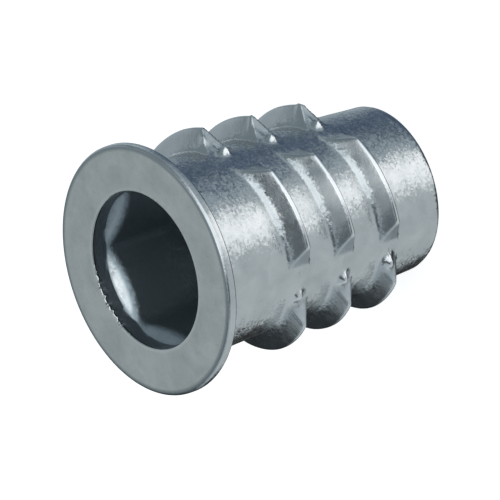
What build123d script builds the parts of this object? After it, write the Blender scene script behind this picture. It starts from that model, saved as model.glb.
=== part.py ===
from build123d import *
import math
import os

# Threaded insert: one zinc die casting that screws into a drilled hole in a panel and
# gives it a machine thread. A flange stops it flush and a six-sided socket drives it.
# It stands on its tail, centred on Z, with the flange on top. Lengths are in millimetres.

# Flange and barrel
overall_length = 18.0
flange_diameter = 14.8
flange_thickness = 0.65
flange_edge_bevel = 0.14
barrel_diameter_at_flange = 11.7
barrel_diameter_at_tail = 9.75
neck_bevel = 0.2
tail_edge_radius = 0.3

# Wood thread: a right-hand helical rib, parted into four sectors by the slides of the die
rib_pitch = 3.5
rib_turns = 2.98
rib_start_height = 3.2
rib_start_angle = 131.5
rib_height_at_tail = 1.14
rib_height_at_flange = 1.33
rib_crest_width = 0.26
rib_flank_angle = 25
rib_foot_height = 0.34
rib_foot_angle = 58
rib_root_depth = 0.06

# The front slide faces -Y and the back slide +Y. The two side slides keep longer ribs, and their
# angle is counted from the front slide, so they stand a little nearer to the back.
front_slide_angle = -90
front_slide_half_width = 2.25
front_slide_draft = 19.5
side_slide_angle = 97.8
side_slide_half_width = 3.3
side_slide_draft = 2.8

# Drive socket
mouth_diameter = 9.3
mouth_depth = 0.95
lead_in_angle = 52
hex_across_flats = 8.0
hex_depth = 7.0

# Machine thread: the bore is its core, 8 mm nominal with a 1.25 mm pitch
thread_diameter = 8.0
thread_core_diameter = 6.65
thread_lead_in_angle = 45
tail_chamfer = 0.4

# How far a cutter runs past the face that it enters
cut_overrun = 1.0

flange_underside = overall_length - flange_thickness
barrel_radius_at_tail = barrel_diameter_at_tail / 2
barrel_radius_at_flange = barrel_diameter_at_flange / 2
rib_rise = rib_turns * rib_pitch


def barrel_radius(height):
    """Radius of the tapered barrel at a height above the tail."""
    taper = (barrel_radius_at_flange - barrel_radius_at_tail) / flange_underside
    return barrel_radius_at_tail + taper * height


crest_radius_low = barrel_radius(rib_start_height) + rib_height_at_tail
crest_radius_high = barrel_radius(rib_start_height + rib_rise) + rib_height_at_flange


def barrel_with_flange():
    """The solid blank: a tapered barrel under a thin round flange, turned about Z."""
    flange_radius = flange_diameter / 2
    neck_height = flange_underside - neck_bevel
    half_section = Polyline(
        (0, 0),
        (barrel_radius_at_tail, 0),
        (barrel_radius(neck_height), neck_height),
        (barrel_radius_at_flange + neck_bevel, flange_underside),
        (flange_radius - flange_edge_bevel, flange_underside),
        (flange_radius, flange_underside + flange_edge_bevel),
        (flange_radius, overall_length - flange_edge_bevel),
        (flange_radius - flange_edge_bevel, overall_length),
        (0, overall_length),
        close=True,
    )
    blank = revolve(Plane.XZ * make_face(half_section), Axis.Z)
    tail_edge = blank.edges().filter_by(GeomType.CIRCLE).sort_by(Axis.Z)[0]
    return fillet(tail_edge, tail_edge_radius)


def helical_ridge():
    """The unbroken rib: a steep V with a flared foot, swept up a helix that widens to the flange."""
    crest_taper = math.degrees(math.atan((crest_radius_high - crest_radius_low) / rib_rise))
    crest_line = Helix(
        pitch=rib_pitch,
        height=rib_rise,
        radius=crest_radius_low,
        center=(0, 0, rib_start_height),
        cone_angle=crest_taper,
    )
    flank_depth = min(rib_height_at_tail, rib_height_at_flange) - rib_foot_height
    depth = max(rib_height_at_tail, rib_height_at_flange) + rib_root_depth
    half_crest = rib_crest_width / 2
    half_knee = half_crest + flank_depth * math.tan(math.radians(rib_flank_angle))
    half_foot = half_knee + (depth - flank_depth) * math.tan(math.radians(rib_foot_angle))
    section = Polyline(
        (0, half_crest),
        (-flank_depth, half_knee),
        (-depth, half_foot),
        (-depth, -half_foot),
        (-flank_depth, -half_knee),
        (0, -half_crest),
        close=True,
    )
    section_plane = Plane(origin=crest_line @ 0, x_dir=(1, 0, 0), z_dir=crest_line % 0)
    ridge = sweep(section_plane * make_face(section), path=crest_line, is_frenet=True)
    return Rot(0, 0, rib_start_angle) * ridge


def slide_space(half_width, draft_angle):
    """The space of one die slide on +X: its drafted sides cut the ends of the ribs."""
    inner = thread_core_diameter / 2
    outer = crest_radius_high + cut_overrun
    draft = math.tan(math.radians(draft_angle))
    inner_half_width = half_width + (crest_radius_high - inner) * draft
    outer_half_width = half_width + (crest_radius_high - outer) * draft
    plan = Polyline(
        (inner, -inner_half_width),
        (outer, -outer_half_width),
        (outer, outer_half_width),
        (inner, inner_half_width),
        close=True,
    )
    return extrude(make_face(plan), flange_underside)


def interrupted_ribs():
    """The wood thread: what the four slides keep of the helical ridge."""
    ridge = helical_ridge()
    front_slide = slide_space(front_slide_half_width, front_slide_draft)
    side_slide = slide_space(side_slide_half_width, side_slide_draft)
    slides = [
        Rot(0, 0, front_slide_angle) * front_slide,
        Rot(0, 0, front_slide_angle + 180) * front_slide,
        Rot(0, 0, front_slide_angle + side_slide_angle) * side_slide,
        Rot(0, 0, front_slide_angle - side_slide_angle) * side_slide,
    ]
    ribs = []
    for slide in slides:
        ribs.extend((ridge & slide).solids())
    return ribs


def machine_thread_core():
    """The thread's core bore, chamfered at the tail and opened to its full size at the socket."""
    core_radius = thread_core_diameter / 2
    thread_radius = thread_diameter / 2
    tail_radius = core_radius + tail_chamfer
    hex_floor = overall_length - hex_depth
    lead_in_drop = (thread_radius - core_radius) / math.tan(math.radians(thread_lead_in_angle))
    half_section = Polyline(
        (0, -cut_overrun),
        (tail_radius, -cut_overrun),
        (tail_radius, 0),
        (core_radius, tail_chamfer),
        (core_radius, hex_floor - lead_in_drop),
        (thread_radius, hex_floor),
        (0, hex_floor),
        close=True,
    )
    return revolve(Plane.XZ * make_face(half_section), Axis.Z)


def socket_mouth():
    """The round mouth of the socket and the cone that leads a key in to the flats."""
    mouth_radius = mouth_diameter / 2
    hex_apothem = hex_across_flats / 2
    mouth_floor = overall_length - mouth_depth
    lead_in_drop = (mouth_radius - hex_apothem) / math.tan(math.radians(lead_in_angle))
    half_section = Polyline(
        (0, mouth_floor - lead_in_drop),
        (hex_apothem, mouth_floor - lead_in_drop),
        (mouth_radius, mouth_floor),
        (mouth_radius, overall_length + cut_overrun),
        (0, overall_length + cut_overrun),
        close=True,
    )
    return revolve(Plane.XZ * make_face(half_section), Axis.Z)


def hex_socket():
    """The six-sided drive socket, with two of its flats facing along Y."""
    hexagon = RegularPolygon(hex_across_flats / 2, 6, major_radius=False)
    floor = Plane.XY.offset(overall_length - hex_depth)
    return extrude(floor * hexagon, hex_depth - mouth_depth)


threaded_insert = barrel_with_flange()
threaded_insert += interrupted_ribs()
threaded_insert -= machine_thread_core()
threaded_insert -= hex_socket()
threaded_insert -= socket_mouth()

os.makedirs("parts", exist_ok=True)
export_step(threaded_insert, "parts/threaded_insert.step")
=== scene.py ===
import math

import bpy
import numpy as np
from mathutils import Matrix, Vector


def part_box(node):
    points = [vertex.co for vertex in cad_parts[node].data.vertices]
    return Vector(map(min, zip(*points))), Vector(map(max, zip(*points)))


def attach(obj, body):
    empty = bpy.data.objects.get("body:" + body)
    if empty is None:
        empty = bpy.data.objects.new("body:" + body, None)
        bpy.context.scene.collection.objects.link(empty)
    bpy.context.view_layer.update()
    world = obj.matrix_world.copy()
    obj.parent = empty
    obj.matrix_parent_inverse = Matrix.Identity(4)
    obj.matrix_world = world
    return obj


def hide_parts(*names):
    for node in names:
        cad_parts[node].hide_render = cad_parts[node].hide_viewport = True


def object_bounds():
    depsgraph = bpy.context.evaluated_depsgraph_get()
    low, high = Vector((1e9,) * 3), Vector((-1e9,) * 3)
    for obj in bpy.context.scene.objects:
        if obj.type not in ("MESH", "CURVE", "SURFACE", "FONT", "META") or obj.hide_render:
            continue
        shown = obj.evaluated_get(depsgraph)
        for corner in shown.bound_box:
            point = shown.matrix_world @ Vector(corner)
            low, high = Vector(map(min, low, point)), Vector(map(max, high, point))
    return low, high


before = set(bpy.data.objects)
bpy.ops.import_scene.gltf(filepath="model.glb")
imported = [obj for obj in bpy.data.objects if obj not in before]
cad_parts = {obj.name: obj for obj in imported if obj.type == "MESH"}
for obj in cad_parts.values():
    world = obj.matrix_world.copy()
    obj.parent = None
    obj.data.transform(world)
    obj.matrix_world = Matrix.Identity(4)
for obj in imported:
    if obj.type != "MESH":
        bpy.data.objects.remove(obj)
cad_low, cad_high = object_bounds()


# Threaded insert
# One zinc alloy die casting: a thin flange on a tapered barrel with a coarse wood thread, a hex
# socket in its mouth and a tapped machine thread below. Four die slides leave the wood thread in
# four sectors with plain gaps between them, and the skin is bare, satin and finely grained.
mm = 0.001
insert_low, insert_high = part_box("threaded_insert")
length = (insert_high[2] - insert_low[2]) / mm
flange_radius = (insert_high[1] - insert_low[1]) / 2 / mm
flange_thickness = 0.65
flange_underside = length - flange_thickness
face_rows = 14
face_grain = 0.3
rim_rounding = 0.2
rim_rows = 9
# Rows of the rim that carry painted shade lines along its edges, fading out by the last.
rim_painted_shade_rows = [1.0, 3.0]
underside_rows = 5
neck_rounding = 0.28
neck_rows = 6
# Painted shade under the flange and round the neck.
neck_painted_shade = 0.3
barrel_radius_at_flange = 5.85
barrel_radius_at_tail = 4.875
tail_rounding = 0.3
tail_rows = 7
tail_face_radius = 4.2
wave_count = 26
wave_depth = 0.012
wave_turns = 14
wave_slope = 2.2

rib_pitch = 3.5
rib_count = 3
rib_start_height = 3.2
rib_start_angle = 131.5
helix_return = 4.0
crest_radius_low = 6.195
crest_radius_high = 6.975
crest_rounding = 0.16
# How sharply the wear and painted highlight gathers on the crests.
crest_polish_and_highlight_power = 8
rib_flank_angle = 27.0
rib_foot_blend_up = 0.5
rib_foot_blend_down = 0.2
rib_end_blend = 0.18
rib_end_fade = 0.15
# Painted shade on the end walls of the ribs.
rib_end_painted_shade = 0.7
grain_stop_share = 0.25
grain_fade_share = 0.2
rows_below_ribs = 10
rows_above_ribs = 12
rows_off_crest = np.array(
    [0.03, 0.06, 0.09, 0.12, 0.15, 0.22, 0.3, 0.4, 0.5, 0.6, 0.7, 0.8, 0.92, 1.06, 1.24, 1.48]
)
side_slide_half_width = 3.3
side_slide_draft = 2.8
side_slide_angle = 97.8
front_slide_half_width = 2.25
front_slide_draft = 19.5
front_slide_angle = -90.0
nib_angles = np.array([-144.0, -36.0, 51.0, 129.0])
nib_drops = np.array([-0.1, 0.0, 0.25, 0.0])
nib_size = 0.34
nib_size_shares = (0.8, 1.2)
nib_height = 0.56
nib_height_shares = (0.7, 1.0)
# Flash this high carries the full wear and painted highlight.
nib_polish_and_highlight_height = 0.3
crumb_angles = np.array([-26.0, 40.0])
crumbs_on_a_rib = 5
crumb_spread = 5.0
crumb_levels = (-0.1, 0.5)
crumb_size = 0.11
crumb_height = 0.07

mouth_radius = 4.65
mouth_depth = 0.95
mouth_floor = length - mouth_depth
mouth_rows = 5
mouth_edge_rounding = 0.06
# Wear and painted highlight on the mouth's edge.
mouth_edge_polish_and_highlight = 0.6
burr_middle = 100.0
burr_half_width = 26.0
burr_depth = 0.09
lead_in_angle = 52.0
lead_in_reach = 0.8
lead_in_rows = 18
lead_in_blend = 0.55
# Where the socket's painted shade is left off: the wide parts of the lead-in cone, most of all
# round one flat.
unshaded_middle = 90.0
unshaded_half_width = 35.0
unshaded_elsewhere = 0.35
unshaded_depth = 0.2
unshaded_corner_inset = 0.15
unshaded_corner_fade = 0.3
unshaded_edge_fade = 0.1
hex_apothem = 4.0
hex_corner_rounding = 0.7
hex_flat_angle = 90.0
flat_half_angle = 30.0
flat_top_drop = 0.9
flat_rows = 6
hex_depth = 7.0
hex_floor = length - hex_depth
hex_floor_radii = np.array([3.9, 3.96])
hex_floor_step = 0.02

thread_pitch = 1.25
thread_core_radius = 3.325
thread_radius = 4.0
thread_root_inset = 0.1
thread_rows = 64
thread_lead_in = 0.62
groove_mouth_share = 0.75
groove_root_share = 0.125
thread_fade_at_tail = 0.5
thread_fade_at_socket = 0.3
tail_chamfer = 0.4
# Painted shade on the chamfer where the tapped bore meets the tail.
tail_chamfer_painted_shade = 0.5
chamfer_edge_flat = 0.04
chamfer_edge_step = 0.03

columns = 360
angle = np.arange(columns) * 2 * np.pi / columns
sharp_edge_angle = 50.0
casting_marks = np.random.default_rng(7)


def smooth_max(first, second, blend):
    """The larger of two heights, with a fillet where they differ by less than the blend."""
    overlap = np.maximum(blend - np.abs(first - second), 0.0)
    return np.maximum(first, second) + overlap ** 2 / (4 * blend)


def smooth_min(first, second, blend):
    """The smaller of two heights, rounded over where they differ by less than the blend."""
    return -smooth_max(-first, -second, blend)


def ramp(value, width):
    """A share that rises evenly from 0 to 1 while a value goes from 0 to the width."""
    return np.clip(value / width, 0.0, 1.0)


def off_angle(degrees, middle):
    """How far angles lie off a middle one, from -180 to 180 degrees."""
    return np.mod(degrees - middle + 180.0, 360.0) - 180.0


def turned(radii, heights):
    """Rings of a turned profile: each point of the profile carried once round the axis."""
    rings = np.ones(columns)
    return np.outer(radii, rings), np.outer(heights, rings)


def corner(centre_radius, centre_height, rounding, start, end, steps=5):
    """Points of a rounded corner: an arc about its centre from a start to an end angle."""
    sweep = np.radians(np.linspace(start, end, steps))
    return centre_radius + rounding * np.cos(sweep), centre_height + rounding * np.sin(sweep)


def barrel_radius(height):
    """The barrel's taper: its radius grows evenly with the height above the tail."""
    taper = (barrel_radius_at_flange - barrel_radius_at_tail) / flange_underside
    return barrel_radius_at_tail + taper * height


def lowest_crest(degrees):
    """Height of the lowest rib's crest: the even rise of the helix, let down again by one pitch
    close to either side of the start angle, at the back."""
    turned_by = np.mod(degrees - rib_start_angle, 360.0)
    ends = np.array([helix_return, 360.0 - helix_return])
    return rib_start_height + rib_pitch / 360.0 * np.interp(turned_by, ends, ends, period=360.0)


def slide_limit(degrees):
    """Reach of the ribs at an angle: the drafted side walls of the die slides that made them, the
    front and back slides opposite each other and the side slides a little nearer to the back."""
    slides = [
        (front_slide_angle, front_slide_half_width, front_slide_draft),
        (front_slide_angle + 180.0, front_slide_half_width, front_slide_draft),
        (front_slide_angle + side_slide_angle, side_slide_half_width, side_slide_draft),
        (front_slide_angle - side_slide_angle, side_slide_half_width, side_slide_draft),
    ]
    reach = np.zeros(len(degrees))
    for middle, half_width, draft_angle in slides:
        off_middle = np.radians(off_angle(degrees, middle))
        draft = math.tan(math.radians(draft_angle))
        wall = half_width + crest_radius_high * draft
        slope = np.abs(np.sin(off_middle)) + draft * np.cos(off_middle)
        in_front = np.abs(off_middle) < np.pi / 3
        reach = np.maximum(reach, np.where(in_front, wall / np.where(in_front, slope, 1.0), 0.0))
    return reach


def casting_waviness(degrees, height):
    """Slight swells of the cast skin: a sum of shallow waves that run round and along it."""
    around = casting_marks.integers(-wave_turns, wave_turns + 1, wave_count)
    along = casting_marks.uniform(-wave_slope, wave_slope, wave_count)
    phase = casting_marks.uniform(0.0, 2 * np.pi, wave_count)
    swell = np.zeros(np.broadcast(degrees, height).shape)
    for turns, slope, start in zip(around, along, phase):
        swell += np.sin(np.radians(turns * degrees) + slope * height + start)
    return wave_depth * swell / math.sqrt(wave_count)


def hump(degrees, heights, middle, level, size):
    """A round hump of unit height on the barrel: a bell curve of the distance over the skin from
    its middle, which lies at an angle and a level."""
    across = np.radians(off_angle(degrees, middle)) * barrel_radius(heights)
    return np.exp(-(across ** 2 + (heights - level) ** 2) / size ** 2)


def flash_nibs(degrees, heights):
    """Flash at the ends of the side ribs: one round lump of its own size at the foot of each end,
    and a scatter of small round crumbs on the ends of one side."""
    flash = np.zeros(heights.shape)
    for middle, drop in zip(nib_angles, nib_drops):
        for rib in range(rib_count):
            level = lowest_crest(np.array([middle])) + rib * rib_pitch - drop
            size = nib_size * casting_marks.uniform(*nib_size_shares)
            height = nib_height * casting_marks.uniform(*nib_height_shares)
            flash += height * hump(degrees, heights, middle, level, size)
    for middle in crumb_angles:
        for rib in range(rib_count):
            for at in middle + casting_marks.uniform(-crumb_spread, crumb_spread, crumbs_on_a_rib):
                off_crest = casting_marks.uniform(*crumb_levels)
                level = lowest_crest(np.array([at])) + rib * rib_pitch + off_crest
                flash += crumb_height * hump(degrees, heights, at, level, crumb_size)
    return flash


def barrel_rows(first_crest):
    """Heights of the barrel's rows from tail to flange: they follow the helix, close together at
    each crest, and level out towards both ends."""
    rib_rows = np.concatenate([[-rib_pitch / 2], -rows_off_crest[::-1], [0.0], rows_off_crest])
    bottom = tail_rounding
    top = flange_underside - neck_rounding
    below = np.linspace(0.0, 1.0, rows_below_ribs, endpoint=False)[:, None]
    rows = [bottom + below * (first_crest - rib_pitch / 2 - bottom)]
    for rib in range(rib_count):
        rows.append(first_crest + rib * rib_pitch + rib_rows[:, None])
    last = first_crest + (rib_count - 0.5) * rib_pitch
    above = np.linspace(0.0, 1.0, rows_above_ribs)[:, None]
    rows.append(last + above * (top - last))
    return np.concatenate(rows)


def fall_from_crest(off_crest):
    """How far a rib falls away from its crest: down an arc of the crest's rounding, then down a
    straight flank that carries the arc on."""
    arc_edge = crest_rounding * math.cos(math.radians(rib_flank_angle))
    arc = crest_rounding - np.sqrt(crest_rounding ** 2 - np.minimum(off_crest, arc_edge) ** 2)
    return arc + np.maximum(off_crest - arc_edge, 0.0) / math.tan(math.radians(rib_flank_angle))


def barrel_rings():
    """The ribbed barrel from flange to tail: the radius is the larger of the tapered barrel and the
    nearest rib, which is cut off at the walls of the die slides. With the radii and heights come
    the painted shade of the rib ends, the wear and painted highlight on crests and flash, which
    grows with the share of a rib's height, and the grain, which stops above the feet of the ribs."""
    degrees = np.degrees(angle)
    first_crest = lowest_crest(degrees)
    heights = barrel_rows(first_crest)
    barrel = barrel_radius(heights)
    nearest = np.clip(np.round((heights - first_crest) / rib_pitch), 0, rib_count - 1)
    crest_height = first_crest + nearest * rib_pitch
    rise = (crest_height - rib_start_height) / (rib_count * rib_pitch)
    crest = crest_radius_low + (crest_radius_high - crest_radius_low) * rise
    rib = crest - fall_from_crest(np.abs(heights - crest_height))
    reach = slide_limit(degrees)
    rib_end = ramp(rib - reach, rib_end_fade) * ramp(reach - barrel, rib_end_fade)
    rib = smooth_min(rib, reach, rib_end_blend)
    foot_blend = np.where(heights > crest_height, rib_foot_blend_up, rib_foot_blend_down)
    radii = smooth_max(barrel, rib, foot_blend)
    share = np.clip((radii - barrel) / (crest - barrel), 0.0, 1.0)
    grain = 1.0 - ramp(share - grain_stop_share, grain_fade_share)
    flash = flash_nibs(degrees, heights)
    # Wear and painted highlight: brighter colour on crests and flash.
    polish_and_highlight = np.maximum(share ** crest_polish_and_highlight_power, ramp(flash, nib_polish_and_highlight_height))
    radii = radii + casting_waviness(degrees, heights) + flash
    # Painted shade on the rib end walls, kept off where they carry the painted highlight.
    painted_shade = rib_end_painted_shade * rib_end * (1.0 - polish_and_highlight)
    return radii[::-1], heights[::-1], painted_shade[::-1], polish_and_highlight[::-1], grain[::-1]


def thread_rings():
    """The tapped thread: a 60 degree V wound up the core bore, fading out at both ends."""
    top = hex_floor - thread_lead_in
    rows = np.linspace(tail_chamfer, top, thread_rows)[1:, None]
    turn = np.mod(rows / thread_pitch - angle / (2 * np.pi), 1.0)
    from_root = np.abs(2 * turn - 1)
    groove = ramp(groove_mouth_share - from_root, groove_mouth_share - groove_root_share)
    fade = ramp(rows - tail_chamfer, thread_fade_at_tail) * ramp(top - rows, thread_fade_at_socket)
    depth = thread_radius - thread_root_inset - thread_core_radius
    return thread_core_radius + depth * groove * fade, rows + np.zeros(columns)


def hexagon_radius(degrees):
    """Outline of the socket: the distance to the nearest of six flats, with arcs for corners."""
    off_flat = np.abs(
        np.mod(degrees - hex_flat_angle + flat_half_angle, 2 * flat_half_angle) - flat_half_angle
    )
    flats = hex_apothem / np.cos(np.radians(off_flat))
    inset = hex_apothem - hex_corner_rounding
    corner_middle = inset / math.cos(math.radians(flat_half_angle))
    to_corner = np.radians(flat_half_angle - off_flat)
    off_ray = corner_middle * np.sin(to_corner)
    chord = np.sqrt(np.maximum(hex_corner_rounding ** 2 - off_ray ** 2, 0.0))
    arc_start = math.atan(inset * math.tan(math.radians(flat_half_angle)) / hex_apothem)
    in_corner = off_flat > math.degrees(arc_start)
    return np.where(in_corner, corner_middle * np.cos(to_corner) + chord, flats)


def socket_rings():
    """The drive socket: the hexagon carried up to the cone that leads a key in, whichever is wider.
    The third array is painted shade for the recess, left off the wide parts of the cone and most of
    all off one flat, so that this flat shows bright."""
    degrees = np.degrees(angle)
    hexagon = hexagon_radius(degrees)
    wall = np.linspace(hex_floor + hex_floor_step, mouth_floor - flat_top_drop, flat_rows)
    lead_in = np.linspace(mouth_floor - lead_in_reach, mouth_floor, lead_in_rows)
    heights = np.concatenate([wall, lead_in])[:, None]
    cone = mouth_radius - (mouth_floor - heights) * math.tan(math.radians(lead_in_angle))
    radii = np.minimum(smooth_max(hexagon, cone, lead_in_blend), mouth_radius)
    # Share of the cone where the painted shade is left off.
    lightened = ramp(cone - hexagon, unshaded_depth) * ramp(mouth_floor - heights, unshaded_edge_fade)
    lightened = lightened * ramp(mouth_radius - hexagon - unshaded_corner_inset, unshaded_corner_fade)
    most_lightened = np.exp(-((off_angle(degrees, unshaded_middle) / unshaded_half_width) ** 4))
    lightened = lightened * (unshaded_elsewhere + (1.0 - unshaded_elsewhere) * most_lightened)
    return radii, heights + np.zeros(columns), 1.0 - lightened


def burr(degrees):
    """Ragged stretch of the mouth's edge, where the casting gate was broken off: rough inside one
    window of angles and nothing elsewhere."""
    window = np.exp(-((off_angle(degrees, burr_middle) / burr_half_width) ** 4))
    return window * np.repeat(casting_marks.uniform(-1.0, 1.0, columns // 2), 2)


def insert_rings():
    """The whole skin as one closed band of rings: out over the flange, down the barrel, round the
    tail, and up through the thread, the socket and the mouth to the start. Each ring has its
    radius, its height, its painted shade, the wear and painted highlight on its edges and the
    coarseness of its grain."""
    bands = []

    def lay(radii, heights, painted_shade=0.0, polish_and_highlight=0.0, grain=1.0):
        """Adds a stretch of rings, with each value spread over all the columns."""
        shape = np.broadcast(radii, np.zeros(columns)).shape
        ring_values = (radii, heights, painted_shade, polish_and_highlight, grain)
        bands.append([np.broadcast_to(values, shape) for values in ring_values])

    edge = mouth_edge_rounding
    ragged = burr_depth * burr(np.degrees(angle))
    edge_radii, edge_heights = turned(*corner(mouth_radius + edge, length - edge, edge, 180, 90))
    edge_heights = edge_heights - np.abs(ragged)
    lay(edge_radii + ragged, edge_heights, polish_and_highlight=mouth_edge_polish_and_highlight, grain=face_grain)
    face = np.linspace(mouth_radius + edge, flange_radius - rim_rounding, face_rows)[1:-1]
    lay(*turned(face, np.full(len(face), length)), grain=face_grain)

    rim_middle = flange_radius - rim_rounding
    # Painted shade lines along both edges of the flange's rim.
    rim_painted_shade = np.interp(np.arange(rim_rows), rim_painted_shade_rows, [1.0, 0.0])[:, None]
    upper_rim = corner(rim_middle, length - rim_rounding, rim_rounding, 90, 0, rim_rows)
    lower_rim = corner(rim_middle, flange_underside + rim_rounding, rim_rounding, 0, -90, rim_rows)
    lay(*turned(*upper_rim), rim_painted_shade, grain=face_grain)
    lay(*turned(*lower_rim), rim_painted_shade[::-1], grain=face_grain)

    neck_middle = barrel_radius_at_flange + neck_rounding
    under = np.linspace(rim_middle, neck_middle, underside_rows)[1:-1]
    # Painted shade under the flange and round the neck.
    lay(*turned(under, np.full(len(under), flange_underside)), neck_painted_shade)
    neck = corner(neck_middle, flange_underside - neck_rounding, neck_rounding, 90, 180, neck_rows)
    lay(*turned(neck[0][:-1], neck[1][:-1]), neck_painted_shade)
    lay(*barrel_rings())

    tail_middle = barrel_radius_at_tail - tail_rounding
    tail = corner(tail_middle, tail_rounding, tail_rounding, 0, -90, tail_rows)
    lay(*turned(tail[0][1:], tail[1][1:]))
    chamfer_radius = thread_core_radius + tail_chamfer
    tail_face = np.array(
        [tail_face_radius, chamfer_radius + chamfer_edge_flat, chamfer_radius - chamfer_edge_step]
    )
    lay(*turned(tail_face, np.array([0.0, 0.0, chamfer_edge_step])))
    # Painted shade on the tail chamfer ring.
    lay(*turned(np.array([thread_core_radius]), np.array([tail_chamfer])), tail_chamfer_painted_shade)

    # The tapped bore and the hex floor carry full painted shade, darkening the recess.
    lay(*thread_rings(), 1.0)
    lay(*turned(hex_floor_radii, np.array([hex_floor - hex_floor_step, hex_floor])), 1.0)
    lay(*socket_rings())
    # The mouth wall carries full painted shade.
    wall = np.linspace(mouth_floor, length - edge, mouth_rows)[1:-1]
    lay(*turned(np.full(len(wall), mouth_radius), wall), 1.0)
    return [np.concatenate(values) for values in zip(*bands)]


def cast_zinc():
    """Bare zinc: satin metal with cloudy grey patches and a frosty grain of tiny tilted facets. It
    is darker, as painted shade, and duller where the mesh marks painted shade, and brighter, as
    wear and painted highlight, and smoother where the mesh marks polish."""
    dark_cloud, light_cloud = (0.52, 0.55, 0.56, 1), (0.64, 0.66, 0.67, 1)
    # The lighter colour stands for wear and a painted highlight, the darker one for painted shade.
    polish_highlight_colour, painted_shade_colour = (0.74, 0.75, 0.76, 1), (0.34, 0.39, 0.42, 1)
    satin_roughness = (0.18, 0.28)
    rubbed_roughness, painted_shade_roughness = 0.12, 0.45
    cloud_size, satin_size, swell_size, grain_size, facet_size = 1.6, 0.45, 0.9, 0.14, 0.13
    swell_depth, grain_depth = 0.02, 0.007
    facet_tilt = 0.14
    noise_range = (0.3, 0.7)

    material = bpy.data.materials.new("cast_zinc")
    material.use_nodes = True
    nodes, links = material.node_tree.nodes, material.node_tree.links
    metal = nodes["Principled BSDF"]
    metal.inputs["Metallic"].default_value = 1.0
    place = nodes.new("ShaderNodeTexCoord")

    def noise(size, detail, distortion=0.0):
        """Cloudy noise through the metal, in lumps of about a size in millimetres."""
        texture = nodes.new("ShaderNodeTexNoise")
        texture.inputs["Scale"].default_value = 1 / (size * mm)
        texture.inputs["Detail"].default_value = detail
        texture.inputs["Distortion"].default_value = distortion
        links.new(place.outputs["Object"], texture.inputs["Vector"])
        return texture.outputs["Fac"]

    def stretched(value, low, high):
        """The middle of a noise's range, stretched to run from low to high."""
        fit = nodes.new("ShaderNodeMapRange")
        fit.inputs["From Min"].default_value = noise_range[0]
        fit.inputs["From Max"].default_value = noise_range[1]
        fit.inputs["To Min"].default_value = low
        fit.inputs["To Max"].default_value = high
        links.new(value, fit.inputs["Value"])
        return fit.outputs["Result"]

    def attribute(name):
        """A value that the mesh carries point by point."""
        layer = nodes.new("ShaderNodeAttribute")
        layer.attribute_name = name
        return layer.outputs["Fac"]

    def mixed(kind, share, first, second):
        """The first value where the share is 0, the second where it is 1, and a blend between."""
        mix = nodes.new("ShaderNodeMix")
        mix.data_type = kind
        links.new(share, mix.inputs["Factor"])
        for value, socket in ((first, mix.inputs["A"]), (second, mix.inputs["B"])):
            if isinstance(value, bpy.types.NodeSocket):
                links.new(value, socket)
            else:
                socket.default_value = value
        return mix.outputs["Result"]

    def bump(height, depth):
        """Shading of a skin that a height raises, up to a depth in millimetres."""
        raised = nodes.new("ShaderNodeBump")
        raised.inputs["Strength"].default_value = 1.0
        raised.inputs["Distance"].default_value = depth * mm
        links.new(height, raised.inputs["Height"])
        return raised

    def vector_step(operation, value):
        """One step of vector arithmetic on a value."""
        step = nodes.new("ShaderNodeVectorMath")
        step.operation = operation
        links.new(value, step.inputs[0])
        return step

    clouds = stretched(noise(cloud_size, 5.0, 0.4), 0.0, 1.0)
    skin = mixed("RGBA", clouds, dark_cloud, light_cloud)
    # Wear and painted highlight: brighter colour where the mesh marks polish.
    lightened = mixed("RGBA", attribute("polish_and_highlight"), skin, polish_highlight_colour)
    # Painted shade: darker colour where the mesh marks shade.
    with_painted_shade = mixed("RGBA", attribute("painted_shade"), lightened, painted_shade_colour)
    links.new(with_painted_shade, metal.inputs["Base Color"])

    satin = stretched(noise(satin_size, 4.0), *satin_roughness)
    gloss = mixed("FLOAT", attribute("polish_and_highlight"), satin, rubbed_roughness)
    dull = mixed("FLOAT", attribute("painted_shade"), gloss, painted_shade_roughness)
    links.new(dull, metal.inputs["Roughness"])

    swells = bump(noise(swell_size, 2.0), swell_depth)
    grain = bump(noise(grain_size, 3.0), grain_depth)
    links.new(swells.outputs["Normal"], grain.inputs["Normal"])
    facets = nodes.new("ShaderNodeTexVoronoi")
    facets.inputs["Scale"].default_value = 1 / (facet_size * mm)
    links.new(place.outputs["Object"], facets.inputs["Vector"])
    about_zero = vector_step("SUBTRACT", facets.outputs["Color"])
    about_zero.inputs[1].default_value = (0.5, 0.5, 0.5)
    amount = nodes.new("ShaderNodeMath")
    amount.operation = "MULTIPLY"
    amount.inputs[1].default_value = facet_tilt
    links.new(attribute("grain"), amount.inputs[0])
    tilt = vector_step("SCALE", about_zero.outputs["Vector"])
    links.new(amount.outputs["Value"], tilt.inputs["Scale"])
    tilted = vector_step("ADD", grain.outputs["Normal"])
    links.new(tilt.outputs["Vector"], tilted.inputs[1])
    unit = vector_step("NORMALIZE", tilted.outputs["Vector"])
    links.new(unit.outputs["Vector"], metal.inputs["Normal"])
    return material


radii, heights, painted_shade, polish_and_highlight, grain = insert_rings()
points = np.stack([radii * np.cos(angle), radii * np.sin(angle), heights], axis=-1) * mm
ring = np.arange(len(radii))[:, None] * columns
next_ring = np.roll(ring, -1, axis=0)
column = np.arange(columns)[None, :]
next_column = np.roll(column, -1, axis=1)
quads = np.stack(
    [ring + column, next_ring + column, next_ring + next_column, ring + next_column], axis=-1
)
insert_mesh = bpy.data.meshes.new("cast_insert")
insert_mesh.from_pydata(points.reshape(-1, 3).tolist(), [], quads.reshape(-1, 4).tolist())
insert_mesh.polygons.foreach_set("use_smooth", np.ones(len(insert_mesh.polygons), dtype=bool))
insert_mesh.set_sharp_from_angle(angle=math.radians(sharp_edge_angle))
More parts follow.
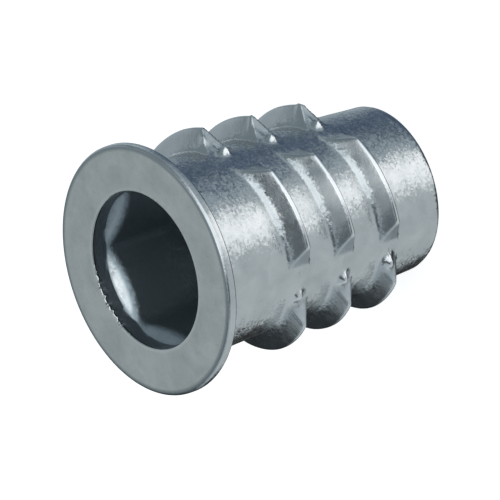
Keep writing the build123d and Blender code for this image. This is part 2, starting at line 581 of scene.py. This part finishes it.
# Painted shade, wear with painted highlight, and grain, carried point by point.
for name, values in (("painted_shade", painted_shade), ("polish_and_highlight", polish_and_highlight), ("grain", grain)):
    layer = insert_mesh.attributes.new(name, "FLOAT", "POINT")
    layer.data.foreach_set("value", values.reshape(-1).astype(np.float32))
insert_mesh.materials.append(cast_zinc())
insert_mesh.update()
cast_insert = bpy.data.objects.new("cast_insert", insert_mesh)
bpy.context.scene.collection.objects.link(cast_insert)
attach(cast_insert, "root")
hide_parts("threaded_insert")


# Floor
# A sheet of plain white card, wide enough to fill the view, that the insert stands on. It glows so
# that it shows as even white, and the metal neither mirrors it nor is shaded by it.
floor_half_width = 2.0
floor_drop = 0.00002
card_glow = 0.8
floor_height = cad_low[2] - floor_drop
floor_corners = [
    (x * floor_half_width, y * floor_half_width, floor_height)
    for x, y in ((-1, -1), (1, -1), (1, 1), (-1, 1))
]
floor_mesh = bpy.data.meshes.new("white_card")
floor_mesh.from_pydata(floor_corners, [], [(0, 1, 2, 3)])
card = bpy.data.materials.new("white_card")
card.use_nodes = True
card_paper = card.node_tree.nodes["Principled BSDF"]
card_paper.inputs["Base Color"].default_value = (0.6, 0.6, 0.6, 1)
card_paper.inputs["Roughness"].default_value = 0.9
card_paper.inputs["Specular IOR Level"].default_value = 0.0
card_paper.inputs["Emission Color"].default_value = (1, 1, 1, 1)
card_paper.inputs["Emission Strength"].default_value = card_glow
floor_mesh.materials.append(card)
floor = bpy.data.objects.new("white_card", floor_mesh)
bpy.context.scene.collection.objects.link(floor)
floor.visible_glossy = False
floor.visible_shadow = False


# Camera
# It looks down on the flange from the front, rolled so that the insert's axis runs from the lower
# left to the upper right of a square picture.
view_azimuth = math.radians(-5.5)
view_elevation = math.radians(36.35)
view_roll = math.radians(109.1)
view_distance = 1000.0
picture_width_px = 500
pixels_per_mm = 17.64
flange_centre_px = (144.8, 270.6)
sensor_width = 36.0

toward_camera = np.array([
    math.sin(view_azimuth) * math.cos(view_elevation),
    -math.cos(view_azimuth) * math.cos(view_elevation),
    math.sin(view_elevation),
])
level_right = np.array([math.cos(view_azimuth), math.sin(view_azimuth), 0.0])
level_up = np.cross(toward_camera, level_right)
picture_right = math.cos(view_roll) * level_right - math.sin(view_roll) * level_up
picture_up = math.sin(view_roll) * level_right + math.cos(view_roll) * level_up
aim = np.array([0.0, 0.0, length])
aim = aim + picture_right * (picture_width_px / 2 - flange_centre_px[0]) / pixels_per_mm
aim = aim + picture_up * (flange_centre_px[1] - picture_width_px / 2) / pixels_per_mm
eye = aim + toward_camera * view_distance

camera_data = bpy.data.cameras.new("camera")
camera_data.sensor_width = sensor_width
camera_data.lens = sensor_width * view_distance * pixels_per_mm / picture_width_px
camera_data.clip_start = 0.1
camera_data.clip_end = 10.0
camera = bpy.data.objects.new("camera", camera_data)
camera_axes = np.eye(4)
camera_axes[:3, 0] = picture_right
camera_axes[:3, 1] = picture_up
camera_axes[:3, 2] = toward_camera
camera_axes[:3, 3] = eye * mm
camera.matrix_world = [list(row) for row in camera_axes.T]
bpy.context.scene.collection.objects.link(camera)
bpy.context.scene.camera = camera


# Studio light
# A pale grey room with soft white panels and darker flags hung round the lens, which the satin
# metal mirrors as broad bands. The camera itself sees plain white beyond the floor.
wall_colour = (0.42, 0.49, 0.53, 1)
# Each panel: angle off the lens, clock angle, colour, and the angles off its own middle where it is
# still full and where it ends. The note names what mirrors it. A later panel hangs in front.
panels = [
    (100, -38, (0.57, 0.62, 0.64), 40, 60),  # lower half of the barrel
    (129, 61, (0.0704, 0.106, 0.167), 8, 41),  # dark band along the upper barrel
    (124, 125, (0.748, 0.836, 0.898), 13, 32),  # light edge above that band
    (107, 197, (0.45, 0.50, 0.505), 26, 46),  # face of the flange
    (146, 228, (0.0176, 0.0264, 0.0264), 18, 36),  # feet of the lower ribs
    (162, -78, (0.0176, 0.0176, 0.0176), 18, 32),  # lower outline
    (72, 230, (0.141, 0.167, 0.185), 15, 28),  # lower ribs by their near ends
    (124, 230, (0.03, 0.035, 0.04), 8, 28),  # lower ribs where they turn away
    (31, -78, (0.08, 0.09, 0.10), 10, 27),  # lower ends of the front ribs' feet
    (132, 12, (0.0264, 0.0352, 0.044), 14, 32),  # edge of the tail
    (58, 184, (0.68, 0.71, 0.73), 10, 26),  # flanks of the front ribs
    (23, 117, (1.16, 1.27, 1.32), 29, 50),  # feet of the front ribs
    (42, 35, (1.32, 1.36, 1.37), 13, 27),  # crests of the front ribs
    (84, 26, (1.41, 1.43, 1.44), 6, 24),  # middle of the barrel
    (89, 136, (0.22, 0.273, 0.299), 31, 58),  # upper ends of the front ribs
    (114, 168, (0.41, 0.465, 0.505), 10, 22),  # flanks of the upper ribs
    (33, 199, (1.76, 1.76, 1.76), 6, 14),  # lead-in cone of the socket
]
world = bpy.data.worlds.new("studio")
bpy.context.scene.world = world
world.use_nodes = True
room, room_links = world.node_tree.nodes, world.node_tree.links
direction = room.new("ShaderNodeTexCoord").outputs["Generated"]


def soft_panel(seen_so_far, off_lens, clock, colour, inner, outer):
    """A round soft panel in front of the rest, placed by its angle off the lens and by its clock
    angle from the picture's right. Its colour fades in between two angles off its own middle."""
    around, off = math.radians(clock), math.radians(off_lens)
    across = math.cos(around) * picture_right + math.sin(around) * picture_up
    toward = math.cos(off) * toward_camera + math.sin(off) * across
    off_middle = room.new("ShaderNodeVectorMath")
    off_middle.operation = "DOT_PRODUCT"
    room_links.new(direction, off_middle.inputs[0])
    off_middle.inputs[1].default_value = tuple(toward)
    fade = room.new("ShaderNodeMapRange")
    fade.interpolation_type = "SMOOTHSTEP"
    fade.inputs["From Min"].default_value = math.cos(math.radians(outer))
    fade.inputs["From Max"].default_value = math.cos(math.radians(inner))
    room_links.new(off_middle.outputs["Value"], fade.inputs["Value"])
    hung = room.new("ShaderNodeMix")
    hung.data_type = "RGBA"
    room_links.new(fade.outputs["Result"], hung.inputs["Factor"])
    room_links.new(seen_so_far, hung.inputs["A"])
    hung.inputs["B"].default_value = (*colour, 1)
    return hung.outputs["Result"]


walls = room.new("ShaderNodeRGB")
walls.outputs[0].default_value = wall_colour
seen = walls.outputs[0]
for panel in panels:
    seen = soft_panel(seen, *panel)
rays = room.new("ShaderNodeLightPath")
to_camera = room.new("ShaderNodeMix")
to_camera.data_type = "RGBA"
room_links.new(rays.outputs["Is Camera Ray"], to_camera.inputs["Factor"])
room_links.new(seen, to_camera.inputs["A"])
to_camera.inputs["B"].default_value = (1, 1, 1, 1)
room_links.new(to_camera.outputs["Result"], room["Background"].inputs["Color"])

bpy.context.scene.view_settings.view_transform = "Standard"
